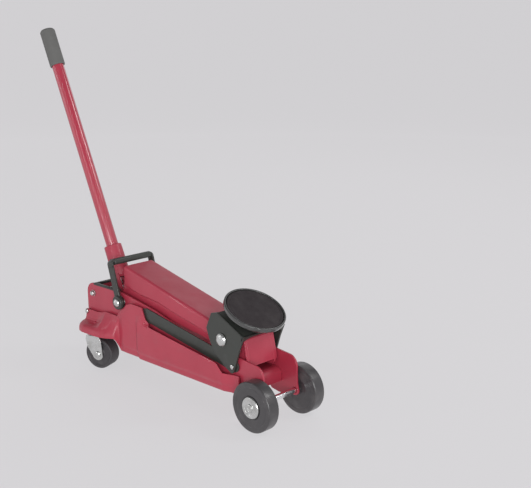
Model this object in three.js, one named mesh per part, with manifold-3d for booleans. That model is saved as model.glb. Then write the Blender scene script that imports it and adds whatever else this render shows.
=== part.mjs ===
// Hydraulic trolley jack, lowered, as an assembly of separate pieces.
// Millimetres, +Z up, +X towards the saddle and the front wheels, +Y to the jack's left.
// Shapes are laid out from the front axle (x = 0, floor z = 0) and centred on X at the end.
import * as THREE from 'three';
import { mergeVertices, mergeGeometries } from 'three/addons/utils/BufferGeometryUtils.js';
import Module from 'manifold-3d';

const wasm = await Module();
wasm.setup();

// ---- Driving dimensions -------------------------------------------------------------
const FRONT_WHEEL_RADIUS = 35;
const FRONT_WHEEL_WIDTH = 18.4;
const FRONT_TRACK_HALF = 44.9;
const AXLE_RADIUS = 4;
const HUB_CAP_RADIUS = 15;

const PLATE_INNER = 31;
const PLATE_OUTER = 34;
const SKIRT_THICKNESS = 2.4;
const SKIRT_INNER_EDGE = 36.7;
const STRIP_Y = 39.8;
const PANEL_Y = 43.1;
const REAR_X = -388;

const PIVOT = [-299.4, 115.1];
const SHAFT_RADIUS = 8;
const ARM_HALF_WIDTH = 28.4;
const ARM_CHEEK_OUTER = 24.5;
const ARM_SHEET = 3;
const LUG = [-311.1, 81.1];
const LUG_PIN_RADIUS = 5;

const SADDLE_BOLT = [-69, 110];
const SADDLE_BOLT_RADIUS = 4.8;
const SADDLE_TILT = THREE.MathUtils.degToRad(26);
const SADDLE_RADIUS = 44.5;
const SADDLE_RIM = 48;
const SADDLE_OFFSET = 5;
const CHEEK_INNER = 37;
const CHEEK_OUTER = 40.2;

const LINK_REAR = [-276, 104];
const LINK_FRONT_IN_BRACKET = [33, -22];
const LINK_INNER = 34.4;
const LINK_OUTER = 36.7;

const HANDLE_PIVOT = [-332.8, 122];
const HANDLE_LEAN = THREE.MathUtils.degToRad(24.4);
const SOCKET_TOP = 72;
const TUBE_RADIUS = 9.6;
const GRIP_START = 375;
const HANDLE_END = 436;

const RAM_AXIS_Z = 80.3;
const PUMP_X = -356;
const PUMP_Y = 19;
const ROLLER = [-18.6, 15.2];

const CASTER_X = -357.5;
const CASTER_Y = 42;
const CASTER_SWIVEL = THREE.MathUtils.degToRad(20);
const CASTER_TRAIL = 10;
const CASTER_RADIUS = 24;
const CASTER_WIDTH = 22;

const SIDES = [
  { name: 'right', sign: -1 },
  { name: 'left', sign: 1 },
];

// ---- Materials ----------------------------------------------------------------------
const finish = (color, roughness, metalness) => ({ color, roughness, metalness });
const RED_PAINT = finish(0xb0343f, 0.35, 0.1);
const BLACK_PAINT = finish(0x33352f, 0.45, 0.1);
const DARK_WHEEL = finish(0x3c3a3d, 0.5, 0);
const ZINC = finish(0xc9cbcc, 0.35, 0.9);
const CHROME = finish(0xd8dadc, 0.12, 1);
const STEEL = finish(0x9a9c9e, 0.4, 0.9);
const CAST_IRON = finish(0x4a4b4c, 0.7, 0.6);
const RUBBER = finish(0x4c4c4c, 0.85, 0);

// ---- Geometry helpers ---------------------------------------------------------------

// Position only, shared vertices merged, slivers dropped and faces turned outward.
function closed(geometry) {
  const bare = geometry.clone();
  bare.deleteAttribute('normal');
  bare.deleteAttribute('uv');
  const merged = mergeVertices(bare, 1e-4);
  const p = merged.attributes.position.array;
  const source = merged.index.array;
  const faces = [];
  let volume = 0;
  for (let i = 0; i < source.length; i += 3) {
    const [a, b, c] = [source[i], source[i + 1], source[i + 2]];
    if (a === b || b === c || a === c) continue;
    faces.push(a, b, c);
    const [ax, ay, az] = p.slice(3 * a, 3 * a + 3);
    const [bx, by, bz] = p.slice(3 * b, 3 * b + 3);
    const [cx, cy, cz] = p.slice(3 * c, 3 * c + 3);
    volume += ax * (by * cz - bz * cy) + ay * (bz * cx - bx * cz) + az * (bx * cy - by * cx);
  }
  if (volume < 0) faces.reverse();
  merged.setIndex(faces);
  return merged;
}

function toSolid(geometry) {
  const g = closed(geometry);
  const mesh = new wasm.Mesh({
    numProp: 3,
    vertProperties: Float32Array.from(g.attributes.position.array),
    triVerts: Uint32Array.from(g.index.array),
  });
  return new wasm.Manifold(mesh);
}

function fromSolid(solid) {
  const mesh = solid.getMesh();
  const g = new THREE.BufferGeometry();
  g.setAttribute('position', new THREE.BufferAttribute(Float32Array.from(mesh.vertProperties), 3));
  g.setIndex(Array.from(mesh.triVerts));
  return g;
}

function join(...geometries) {
  return fromSolid(geometries.map(toSolid).reduce((a, b) => a.add(b)));
}

function cut(geometry, ...tools) {
  return fromSolid(tools.map(toSolid).reduce((a, b) => a.subtract(b), toSolid(geometry)));
}

// Points along an arc in a plane, angles in degrees.
function arc(cx, cy, radius, from, to, steps = 6) {
  const points = [];
  for (let i = 0; i <= steps; i += 1) {
    const angle = THREE.MathUtils.degToRad(from + ((to - from) * i) / steps);
    points.push([cx + radius * Math.cos(angle), cy + radius * Math.sin(angle)]);
  }
  return points;
}

function shapeOf(points, holes = []) {
  const shape = new THREE.Shape(points.map(([a, b]) => new THREE.Vector2(a, b)));
  for (const [cx, cy, radius, steps = 16] of holes) {
    const ring = arc(cx, cy, radius, 0, 360 - 360 / steps, steps - 1);
    shape.holes.push(new THREE.Path(ring.map(([a, b]) => new THREE.Vector2(a, b))));
  }
  return shape;
}

function extruded(points, depth, holes) {
  return new THREE.ExtrudeGeometry(shapeOf(points, holes), { depth, bevelEnabled: false });
}

// An outline in (x, z), thick along Y from y0 to y1.
function plateY(points, y0, y1, holes) {
  return extruded(points, y1 - y0, holes).rotateX(Math.PI / 2).translate(0, y1, 0);
}

// An outline in (y, z), thick along X from x0 to x1.
function plateX(points, x0, x1, holes) {
  const turn = new THREE.Matrix4().makeBasis(
    new THREE.Vector3(0, 1, 0),
    new THREE.Vector3(0, 0, 1),
    new THREE.Vector3(1, 0, 0),
  );
  return extruded(points, x1 - x0, holes).applyMatrix4(turn).translate(x0, 0, 0);
}

// An outline in (x, y), thick along Z from z0 to z1.
function plateZ(points, z0, z1, holes) {
  return extruded(points, z1 - z0, holes).translate(0, 0, z0);
}

const box = (x0, x1, y0, y1, z0, z1) =>
  new THREE.BoxGeometry(x1 - x0, y1 - y0, z1 - z0)
    .translate((x0 + x1) / 2, (y0 + y1) / 2, (z0 + z1) / 2);

// A turned piece: [radius, height] pairs, which begin and end on the axis or close on themselves.
function turned(profile, steps, axis) {
  const g = new THREE.LatheGeometry(profile.map(([r, h]) => new THREE.Vector2(r, h)), steps);
  if (axis === 'x') g.rotateZ(-Math.PI / 2);
  if (axis === 'z') g.rotateX(Math.PI / 2);
  return g;
}

const rod = (radius, from, to, steps, axis) =>
  turned([[0, from], [radius, from], [radius, to], [0, to]], steps, axis);

const ring = (inner, outer, from, to, steps, axis) =>
  turned([[inner, from], [outer, from], [outer, to], [inner, to], [inner, from]], steps, axis);

// Straight-line interpolation in a list of [x, value] pairs.
function along(table, x) {
  if (x <= table[0][0]) return table[0][1];
  for (let i = 1; i < table.length; i += 1) {
    const [x1, v1] = table[i];
    const [x0, v0] = table[i - 1];
    if (x <= x1) return v0 + ((v1 - v0) * (x - x0)) / (x1 - x0);
  }
  return table[table.length - 1][1];
}

// A pressed sheet: sections[i][j] is a point of its outer face, and the sheet has a
// thickness towards the inside, which is where side = +1 or -1 sends the normals.
function pressedSheet(sections, thickness, side) {
  const rows = sections.length;
  const cols = sections[0].length;
  const at = (i, j) => new THREE.Vector3(...sections[i][j]);
  const positions = [];
  for (let i = 0; i < rows; i += 1) {
    for (let j = 0; j < cols; j += 1) positions.push(...at(i, j).toArray());
  }
  for (let i = 0; i < rows; i += 1) {
    for (let j = 0; j < cols; j += 1) {
      const u = at(Math.min(i + 1, rows - 1), j).sub(at(Math.max(i - 1, 0), j));
      const v = at(i, Math.min(j + 1, cols - 1)).sub(at(i, Math.max(j - 1, 0)));
      const normal = u.cross(v).normalize().multiplyScalar(side * thickness);
      positions.push(...at(i, j).add(normal).toArray());
    }
  }
  const outer = (i, j) => i * cols + j;
  const inner = (i, j) => rows * cols + i * cols + j;
  const index = [];
  const quad = (a, b, c, d) => index.push(a, b, c, a, c, d);
  for (let i = 0; i < rows - 1; i += 1) {
    for (let j = 0; j < cols - 1; j += 1) {
      quad(outer(i, j), outer(i + 1, j), outer(i + 1, j + 1), outer(i, j + 1));
      quad(inner(i, j), inner(i, j + 1), inner(i + 1, j + 1), inner(i + 1, j));
    }
    quad(outer(i, 0), inner(i, 0), inner(i + 1, 0), outer(i + 1, 0));
    quad(outer(i, cols - 1), outer(i + 1, cols - 1), inner(i + 1, cols - 1), inner(i, cols - 1));
  }
  for (let j = 0; j < cols - 1; j += 1) {
    quad(outer(0, j), outer(0, j + 1), inner(0, j + 1), inner(0, j));
    quad(outer(rows - 1, j), inner(rows - 1, j), inner(rows - 1, j + 1), outer(rows - 1, j + 1));
  }
  const g = new THREE.BufferGeometry();
  g.setAttribute('position', new THREE.BufferAttribute(new Float32Array(positions), 3));
  g.setIndex(index);
  return g;
}

// A coil of round wire about +Z, from z0 to z1, with flat-cut ends.
function coil(radius, wire, turns, z0, z1, perTurn = 10, wireSides = 6) {
  class Helix extends THREE.Curve {
    getPoint(t, target = new THREE.Vector3()) {
      const angle = 2 * Math.PI * turns * t;
      return target.set(radius * Math.cos(angle), radius * Math.sin(angle), z0 + (z1 - z0) * t);
    }
  }
  const section = new THREE.Shape(
    arc(0, 0, wire, 0, 360 - 360 / wireSides, wireSides - 1).map(([a, b]) => new THREE.Vector2(a, b)),
  );
  return new THREE.ExtrudeGeometry(section, { extrudePath: new Helix(), steps: turns * perTurn });
}

const mirrored = (geometry, sign) => (sign < 0 ? geometry.clone().scale(1, -1, 1) : geometry);

const jack = new THREE.Group();

function add(name, geometry, look, parent = jack) {
  const mesh = new THREE.Mesh(closed(geometry), new THREE.MeshStandardMaterial(look));
  mesh.name = name;
  parent.add(mesh);
  return mesh;
}

// ---- Frame --------------------------------------------------------------------------

function sidePlate() {
  const outline = [
    [REAR_X, 63], [-300, 63], [-286, 46], [-60, 44], [-44, 27], [-30, 24.5],
    ...arc(0, 35, 7, 250, 370, 6),
    [4.4, 46],
    ...arc(-12, 69.5, 16, 0, 90, 5),
    [-141, 98], [-220, 117.5], [-286, 128], [-312, 130.8],
    ...arc(-372, 115, 16, 90, 180, 5),
  ];
  const holes = [
    [...PIVOT, SHAFT_RADIUS + 0.3],
    [0, 35, AXLE_RADIUS + 0.3],
    [-371.4, 114.9, 4.3],
    [-383.3, 84, 3.3, 12],
    [-205, 52, 4.3, 12],
  ];
  return plateY(outline, PLATE_INNER, PLATE_OUTER, holes);
}

// The lower pressing: a flared caster ear behind, then a flanged wall with a raised panel.
const EAR_REACH = [
  [-386, 0.55], [-383, 0.74], [-377, 0.9], [-368, 1], [-338, 1], [-326, 0.94],
  [-316, 0.78], [-309, 0.58], [-304, 0.45],
];
const WALL_Y = [[-301, 37.4], [-289, STRIP_Y], [-257, STRIP_Y], [-247, PANEL_Y],
  [-66, PANEL_Y], [-46, SKIRT_INNER_EDGE]];
const WALL_TOP = [[-301, 93], [-289, 95], [-253, 96], [-79, 74.5], [-66, 62.5], [-38, 62.5]];
const CROWN_TOP = [[-301, 97], [-290, 106], [-280, 115], [-270, 118.6], [-244, 118], [-237, 101],
  [-222, 92.4], [-221, 0]];
// Each has a shelf over the caster's stem at the back, and slopes down outward ahead of it.
const EAR_SHELF = [
  [0, 87.5], [0.6, 81], [1.6, 74.6], [4.4, 70.4], [9.5, 68.4], [17, 67.4], [21.4, 65.8],
  [23.4, 62.4], [23.7, 58],
];
const EAR_SLOPE = [
  [0, 91], [3.6, 86], [7.4, 81.2], [11.2, 76.6], [15, 72.2], [18.6, 68.2], [21.6, 64.6],
  [23.4, 61.4], [23.7, 58],
];

function earSection(x) {
  const reach = along(EAR_REACH, x);
  const slope = THREE.MathUtils.clamp((x + 352) / 18, 0, 1);
  return EAR_SHELF.map(([out, z], k) => [
    SKIRT_INNER_EDGE + (out + (EAR_SLOPE[k][0] - out) * slope) * reach,
    z + (EAR_SLOPE[k][1] - z) * slope,
  ]);
}

function wallSection(x) {
  const y = along(WALL_Y, x);
  const wallTop = along(WALL_TOP, x);
  const crown = Math.max(along(CROWN_TOP, x), wallTop);
  const crowned = crown > wallTop + 1;
  const flangeY = Math.max(y - 2, SKIRT_INNER_EDGE);
  return [
    [crowned ? Math.min(y, STRIP_Y) : y - 0.7, crown],
    [crowned ? Math.min(y, STRIP_Y + 0.2) : y, (crown + wallTop) / 2 - 1],
    [y, wallTop - 3],
    [y, wallTop * 0.4 + 51 * 0.6],
    [y, 51],
    [flangeY, 46],
    [flangeY, 41.5],
    [flangeY - 0.4, 39.4],
    [Math.max(flangeY - 2, SKIRT_INNER_EDGE - 1), 38.4],
  ];
}

function sideSkirt() {
  const stations = [-386, -383, -377, -368, -356, -344, -334, -326, -316, -309, -305, -301, -296,
    -289, -280, -270, -257, -252, -247, -244, -241, -237, -230, -222, -180, -130, -79, -66, -56,
    -46, -38];
  const sections = stations.map((x) => {
    const blend = THREE.MathUtils.clamp((x + 305) / 4, 0, 1);
    const ear = earSection(x);
    const wall = wallSection(x);
    return ear.map(([y, z], k) => [
      x,
      y + (wall[k][0] - y) * blend,
      z + (wall[k][1] - z) * blend,
    ]);
  });
  const stemHole = rod(4.4, 50, 80, 16, 'z').translate(CASTER_X, CASTER_Y, 0);
  const boltHole = rod(3.4, 33, 42, 12, 'y').translate(-383.3, 0, 84);
  return cut(pressedSheet(sections, SKIRT_THICKNESS, 1), stemHole, boltHole);
}

// A U-section edging on the side plate's top edge.
function edgeTrim() {
  const [low, high] = [PLATE_INNER - 0.3, PLATE_OUTER + 0.3];
  const section = [
    [low - 0.9, 129.2], [low, 129.2], [low, 131.2], [high, 131.2], [high, 129.2],
    [high + 0.9, 129.2], [high + 0.9, 131.6], [high + 0.3, 132.2], [low - 0.3, 132.2],
    [low - 0.9, 131.6],
  ];
  return plateX(section, -369, -316);
}

function frame() {
  const plate = sidePlate();
  const skirt = sideSkirt();
  const trim = edgeTrim();
  for (const { name, sign } of SIDES) {
    add(`side_plate_${name}`, mirrored(plate, sign), RED_PAINT);
    add(`side_skirt_${name}`, mirrored(skirt, sign), RED_PAINT);
    add(`edge_trim_${name}`, mirrored(trim, sign), BLACK_PAINT);
    add(`link_stud_${name}`,
      mirrored(rod(3, PLATE_OUTER + 0.3, LINK_OUTER - 0.1, 16, 'y').translate(LINK_REAR[0], 0, LINK_REAR[1]), sign),
      STEEL);
  }
  const bent = [
    [-112, 58.5], [-112, 55.5], [-46, 59.5],
    ...arc(-34, 50.5, 7, 90, 0, 4),
    [-27, 43], [-24, 43],
    ...arc(-35, 52, 11, 0, 90, 5),
    [-46, 63],
  ];
  add('front_cross_plate', plateY(bent, -PLATE_INNER + 0.3, PLATE_INNER - 0.3), RED_PAINT);
  add('centre_tie_rod', rod(4, -35.5, 35.5, 16, 'y').translate(-205, 0, 52), STEEL);
  const rear = [
    [-30.7, 100], [30.7, 100], [30.7, 123], [24, 124.5], [-24, 124.5], [-30.7, 123],
  ];
  add('rear_cross_plate', plateX(rear, -386.5, -383.5), RED_PAINT);
  const lip = [
    [-23, 122.6], [23, 122.6], [23, 126], [-23, 126],
  ];
  const edging = cut(plateX(lip, -387.8, -382.2), box(-386.8, -383.2, -24, 24, 122, 124.8));
  add('rear_edge_trim', edging, BLACK_PAINT);
  const head = [
    [0, 39.6], [2.4, 39.2], [3.9, 37.8], [4.2, 34.3], [4, 34.3],
  ];
  add('rear_tie_bolt', doubleHeaded(head, 4).translate(-371.4, 0, 114.9), ZINC);
}

// A through bolt on Y: one head's half profile, [radius, distance from the middle], repeated.
function doubleHeaded(head, shank) {
  const start = head.map(([r, h]) => [r, -h]);
  const end = head.slice().reverse();
  return turned([...start, [shank, -end[0][1]], [shank, end[0][1]], ...end], 14, 'y');
}

// ---- Front wheels -------------------------------------------------------------------

function frontWheels() {
  const half = FRONT_WHEEL_WIDTH / 2;
  const tyre = [
    [AXLE_RADIUS + 0.4, -half + 1], [13, -half + 1], [17, -half], [33.8, -half],
    [FRONT_WHEEL_RADIUS, -half + 1.4], [FRONT_WHEEL_RADIUS, half - 1.4], [33.8, half],
    [17, half], [15.8, half - 1.2], [AXLE_RADIUS + 0.4, half - 1.2],
    [AXLE_RADIUS + 0.4, -half + 1],
  ];
  const cap = [
    [0, half - 0.8], [HUB_CAP_RADIUS, half - 0.8], [HUB_CAP_RADIUS, half + 0.9],
    [HUB_CAP_RADIUS - 1, half + 1.8], [5, half + 2.2], [4.2, half + 3.4], [0, half + 3.8],
  ];
  for (const { name, sign } of SIDES) {
    const place = (g) => mirrored(g.translate(0, FRONT_TRACK_HALF, FRONT_WHEEL_RADIUS), sign);
    add(`front_wheel_${name}`, place(turned(tyre, 32, 'y')), DARK_WHEEL);
    add(`hub_cap_${name}`, place(turned(cap, 20, 'y')), ZINC);
  }
  const reach = FRONT_TRACK_HALF + half - 1.2;
  add('front_axle', rod(AXLE_RADIUS, -reach, reach, 20, 'y').translate(0, 0, FRONT_WHEEL_RADIUS), CHROME);
}

// ---- Casters ------------------------------------------------------------------------

function caster(name, sign) {
  const post = new THREE.Group();
  post.position.set(CASTER_X, sign * CASTER_Y, 0);
  jack.add(post);
  const stem = [
    [0, 48.7], [6, 48.7], [6, 50.4], [4, 50.6], [4, 71.4], [3.2, 72.6], [0, 73],
  ];
  add(`caster_stem_${name}`, turned(stem, 16, 'z'), ZINC, post);
  const race = [
    [4.4, 53.6], [12, 53.6], [13, 55.4], [13, 60.6], [11.6, 62.2], [7.2, 62.4], [7.2, 64.6], [4.4, 64.6],
    [4.4, 53.6],
  ];
  add(`caster_race_${name}`, turned(race, 18, 'z'), ZINC, post);

  const fork = new THREE.Group();
  fork.rotation.z = -sign * CASTER_SWIVEL;
  post.add(fork);
  const crown = plateZ([
    ...arc(0, 0, 14.4, 100, 260, 6), [13, -14.4], [13, 14.4],
  ], 51, 53.2, [[0, 0, 6.3 - 1.9, 16]]);
  const leg = [
    [-10, 53.2], [-11.5, 47], [-8, 34],
    ...arc(CASTER_TRAIL, CASTER_RADIUS, 9.6, 200, 340, 8),
    [16.5, 46], [13, 53.2],
  ];
  const hole = [[CASTER_TRAIL, CASTER_RADIUS, 3.3, 12]];
  const legs = [plateY(leg, 12.2, 14.4, hole), plateY(leg, -14.4, -12.2, hole)];
  add(`caster_fork_${name}`, join(crown, ...legs), ZINC, fork);

  const half = CASTER_WIDTH / 2;
  const wheel = [
    [3.4, -half], [9, -half], [10.5, -half + 1.5], [18.5, -half + 1.5], [20, -half], [23, -half],
    [CASTER_RADIUS, -half + 1], [CASTER_RADIUS, half - 1], [23, half], [20, half],
    [18.5, half - 1.5], [10.5, half - 1.5], [9, half], [3.4, half], [3.4, -half],
  ];
  const hub = (g) => g.translate(CASTER_TRAIL, 0, CASTER_RADIUS);
  add(`caster_wheel_${name}`, hub(turned(wheel, 24, 'y')), DARK_WHEEL, fork);
  const axle = [[0, 17], [3.4, 16.8], [4.8, 15.8], [5, 14.7], [3, 14.7]];
  add(`caster_axle_${name}`, hub(doubleHeaded(axle, 3)), ZINC, fork);
}

// ---- Lift arm -----------------------------------------------------------------------

const ARM_TOP = [[-297, 170.4], [-110, 127], [-96, 122.6], [-66, 118.2], [-50, 117], [-37, 113.5]];
const ARM_SHOULDER = [[-297, 141], [-260, 133.5], [-220, 130], [-183, 121.5], [-133, 112], [-96, 104],
  [-80, 92], [-66, 76], [-50, 71.5], [-31, 71.5]];

// The cap's section from its right lower lip over the web to its left lower lip.
function armCap() {
  const stations = [-297, -290, -260, -220, -183, -133, -110, -96, -80, -66, -50, -38];
  const sections = stations.map((x) => {
    const top = along(ARM_TOP, x);
    const shoulder = along(ARM_SHOULDER, x);
    const half = [
      [22.2, shoulder - 4.4], [25.4, shoulder - 3.4], [ARM_HALF_WIDTH, shoulder],
      [ARM_HALF_WIDTH, top - 4], [27.2, top - 1.2], [24.4, top],
    ];
    const right = half.map(([y, z]) => [x, -y, z]);
    const left = half.slice().reverse().map(([y, z]) => [x, y, z]);
    return [...right, ...left];
  });
  return pressedSheet(sections, ARM_SHEET, -1);
}

function liftArm() {
  const cheek = [
    [-296, 163], [-304, 140], [-309.5, 118],
    ...arc(...LUG, 9.5, 175, 345, 8),
    [-291, 92], [-270, 101], [-200, 106], [-120, 97], [-78, 86], [-62, 69.5], [-36, 68.5],
    ...arc(-36, 75.5, 7, -60, 0, 3),
    [-37, 112], [-50, 115.4], [-66, 116.8], [-96, 121], [-110, 125.2],
  ];
  const holes = [
    [...PIVOT, SHAFT_RADIUS + 0.4],
    [...LUG, LUG_PIN_RADIUS + 0.3],
    [...SADDLE_BOLT, SADDLE_BOLT_RADIUS + 0.4],
  ];
  const inner = ARM_CHEEK_OUTER - ARM_SHEET;
  const cheeks = [plateY(cheek, inner, ARM_CHEEK_OUTER, holes),
    plateY(cheek, -ARM_CHEEK_OUTER, -inner, holes)];
  const nose = plateY([
    [-40.4, 112], [-37.4, 112.6], [-29.4, 76], [-32.4, 75],
  ], -ARM_HALF_WIDTH, ARM_HALF_WIDTH);
  const bosses = [1, -1].map((sign) => mirrored(
    ring(SADDLE_BOLT_RADIUS + 0.4, 8.2, ARM_CHEEK_OUTER - 0.5, CHEEK_INNER - 0.4, 16, 'y').translate(SADDLE_BOLT[0], 0, SADDLE_BOLT[1]),
    sign,
  ));
  const bore = rod(SADDLE_BOLT_RADIUS + 0.4, -40, 40, 16, 'y').translate(SADDLE_BOLT[0], 0, SADDLE_BOLT[1]);
  return cut(join(armCap(), ...cheeks, nose, ...bosses), bore);
}

function arm() {
  add('lift_arm', liftArm(), RED_PAINT);
  const length = ARM_CHEEK_OUTER + 3;
  add('crosshead_pin', rod(LUG_PIN_RADIUS, -length, length, 20, 'y').translate(LUG[0], 0, LUG[1]), STEEL);
  const head = [[0, 45.6], [4.5, 45.3], [8, 43.6], [9.5, 41.6], [9.5, 40.5], [5, 40.5]];
  add('saddle_bolt', doubleHeaded(head, SADDLE_BOLT_RADIUS).translate(SADDLE_BOLT[0], 0, SADDLE_BOLT[1]), ZINC);
  const cap = [
    [5.5, 34.3], [7.2, 34.3], [7.2, 41], [10.6, 41], [10.6, 42.2], [9.8, 43], [5.5, 43], [5.5, 34.3],
  ];
  for (const { name, sign } of SIDES) {
    const g = turned(cap, 18, 'y').translate(PIVOT[0], 0, PIVOT[1]);
    add(`pivot_cap_${name}`, mirrored(g, sign), BLACK_PAINT);
  }
  const shaft = [
    [0, 46.6], [3, 46.4], [5.4, 45.2], [6.3, 43.3], [5.2, 43.3], [5.2, 33.9], [SHAFT_RADIUS, 33.9],
  ];
  add('main_shaft', doubleHeaded(shaft, SHAFT_RADIUS).translate(PIVOT[0], 0, PIVOT[1]), ZINC);
}

// ---- Saddle, its bracket and the levelling links ------------------------------------

function saddle() {
  const tilt = new THREE.Group();
  tilt.position.set(SADDLE_BOLT[0], 0, SADDLE_BOLT[1]);
  tilt.rotation.y = SADDLE_TILT;
  jack.add(tilt);
  const cheek = [
    [-23, 30], [-33, 21], [-32.5, -4], [-20, -16], [-6, -26], [22, -31.5],
    ...arc(33.5, -27, 5, -110, 0, 4),
    [37.5, -16], [34, 10], [33, 30],
  ];
  const holes = [[0, 0, SADDLE_BOLT_RADIUS + 0.4], [...LINK_FRONT_IN_BRACKET, 2.8, 12]];
  const cheeks = [plateY(cheek, CHEEK_INNER, CHEEK_OUTER, holes),
    plateY(cheek, -CHEEK_OUTER, -CHEEK_INNER, holes)];
  const top = plateZ([
    [-23, -CHEEK_OUTER], [33, -CHEEK_OUTER], [33, CHEEK_OUTER], [-23, CHEEK_OUTER],
  ], 27, 30, [[SADDLE_OFFSET, 0, 10.5, 24]]);
  const lip = box(30, 33, -CHEEK_OUTER, CHEEK_OUTER, 20.5, 30);
  add('saddle_bracket', join(...cheeks, top, lip), BLACK_PAINT, tilt);

  const cup = [
    [0, 27.2], [10, 27.2], [10, 30.3], [31, 30.3], [33.5, 33.5], [34.5, 37], [39, 38.8],
    [SADDLE_RADIUS - 0.6, 41.5], [SADDLE_RADIUS, 43], [SADDLE_RADIUS, 47], [43.4, SADDLE_RIM],
    [42.4, SADDLE_RIM], [41.6, 47], [41.4, 43.5], [0, 43.5],
  ];
  const pin = (g) => g.translate(SADDLE_OFFSET, 0, 0);
  add('saddle_cup', pin(turned(cup, 36, 'z')), BLACK_PAINT, tilt);
  const pad = [[0, 43.8], [41, 43.8], [41, 45.9], [40, 46.8], [0, 46.8]];
  add('saddle_pad', pin(turned(pad, 32, 'z')), RUBBER, tilt);
  for (const { name, sign } of SIDES) {
    const rivet = [
      [0, LINK_INNER + 0.1], [2.5, LINK_INNER + 0.1], [2.5, CHEEK_OUTER + 0.3],
      [3.4, CHEEK_OUTER + 0.3], [3.1, 41.5], [1.6, 42], [0, 42.1],
    ];
    const [x, z] = LINK_FRONT_IN_BRACKET;
    add(`link_rivet_${name}`, mirrored(turned(rivet, 16, 'y').translate(x, 0, z), sign), ZINC, tilt);
  }
}

// The link's front hole is larger than its rivet: this is where the four-bar loop is open.
function links() {
  const cos = Math.cos(SADDLE_TILT);
  const sin = Math.sin(SADDLE_TILT);
  const [bx, bz] = LINK_FRONT_IN_BRACKET;
  const front = [SADDLE_BOLT[0] + bx * cos + bz * sin, SADDLE_BOLT[1] - bx * sin + bz * cos];
  const outline = [
    ...arc(...LINK_REAR, 6.5, 110, 260, 6),
    [-262, 97.5], [-224, 96], [-63, 69.5],
    ...arc(...front, 8.6, -110, 60, 7),
    [-99, 95], [-236, 118.2], [-246, 116],
  ];
  const holes = [[...LINK_REAR, 3.4, 16], [...front, 4.1, 16]];
  const bar = plateY(outline, LINK_INNER, LINK_OUTER, holes);
  for (const { name, sign } of SIDES) add(`link_bar_${name}`, mirrored(bar, sign), BLACK_PAINT);
}

// ---- Carry handle -------------------------------------------------------------------

function carryHandle() {
  const lean = new THREE.Group();
  lean.position.set(PIVOT[0], 0, PIVOT[1]);
  lean.rotation.y = -THREE.MathUtils.degToRad(17);
  jack.add(lean);
  const [inside, outside] = [37.1, 40.6];
  const leg = [
    ...arc(0, 0, 11, 125, 415, 14),
    [6.2, 14], [6.2, 56], [-6.2, 56], [-6.2, 14],
  ];
  const eye = [[0, 0, 7.6, 18]];
  const legs = [plateY(leg, inside, outside, eye), plateY(leg, -outside, -inside, eye)];
  const strap = [
    ...arc(33.6, 58.8, 7, 0, 90, 5), ...arc(-33.6, 58.8, 7, 90, 180, 5),
    [-40.6, 54], [-37.1, 54], ...arc(-33.6, 58.8, 3.5, 180, 90, 4),
    ...arc(33.6, 58.8, 3.5, 90, 0, 4), [37.1, 54], [40.6, 54],
  ];
  const bow = plateX(strap, -6.2, 6.2);
  const grip = plateY([
    ...arc(4, 63.4, 3.4, 0, 90, 3), ...arc(-4, 63.4, 3.4, 90, 180, 3),
    ...arc(-4, 60.4, 3.4, 180, 270, 3), ...arc(4, 60.4, 3.4, 270, 360, 3),
  ], -33, 33);
  add('carry_handle', join(...legs, bow, grip), BLACK_PAINT, lean);
}

// ---- Hydraulic unit -----------------------------------------------------------------

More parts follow.
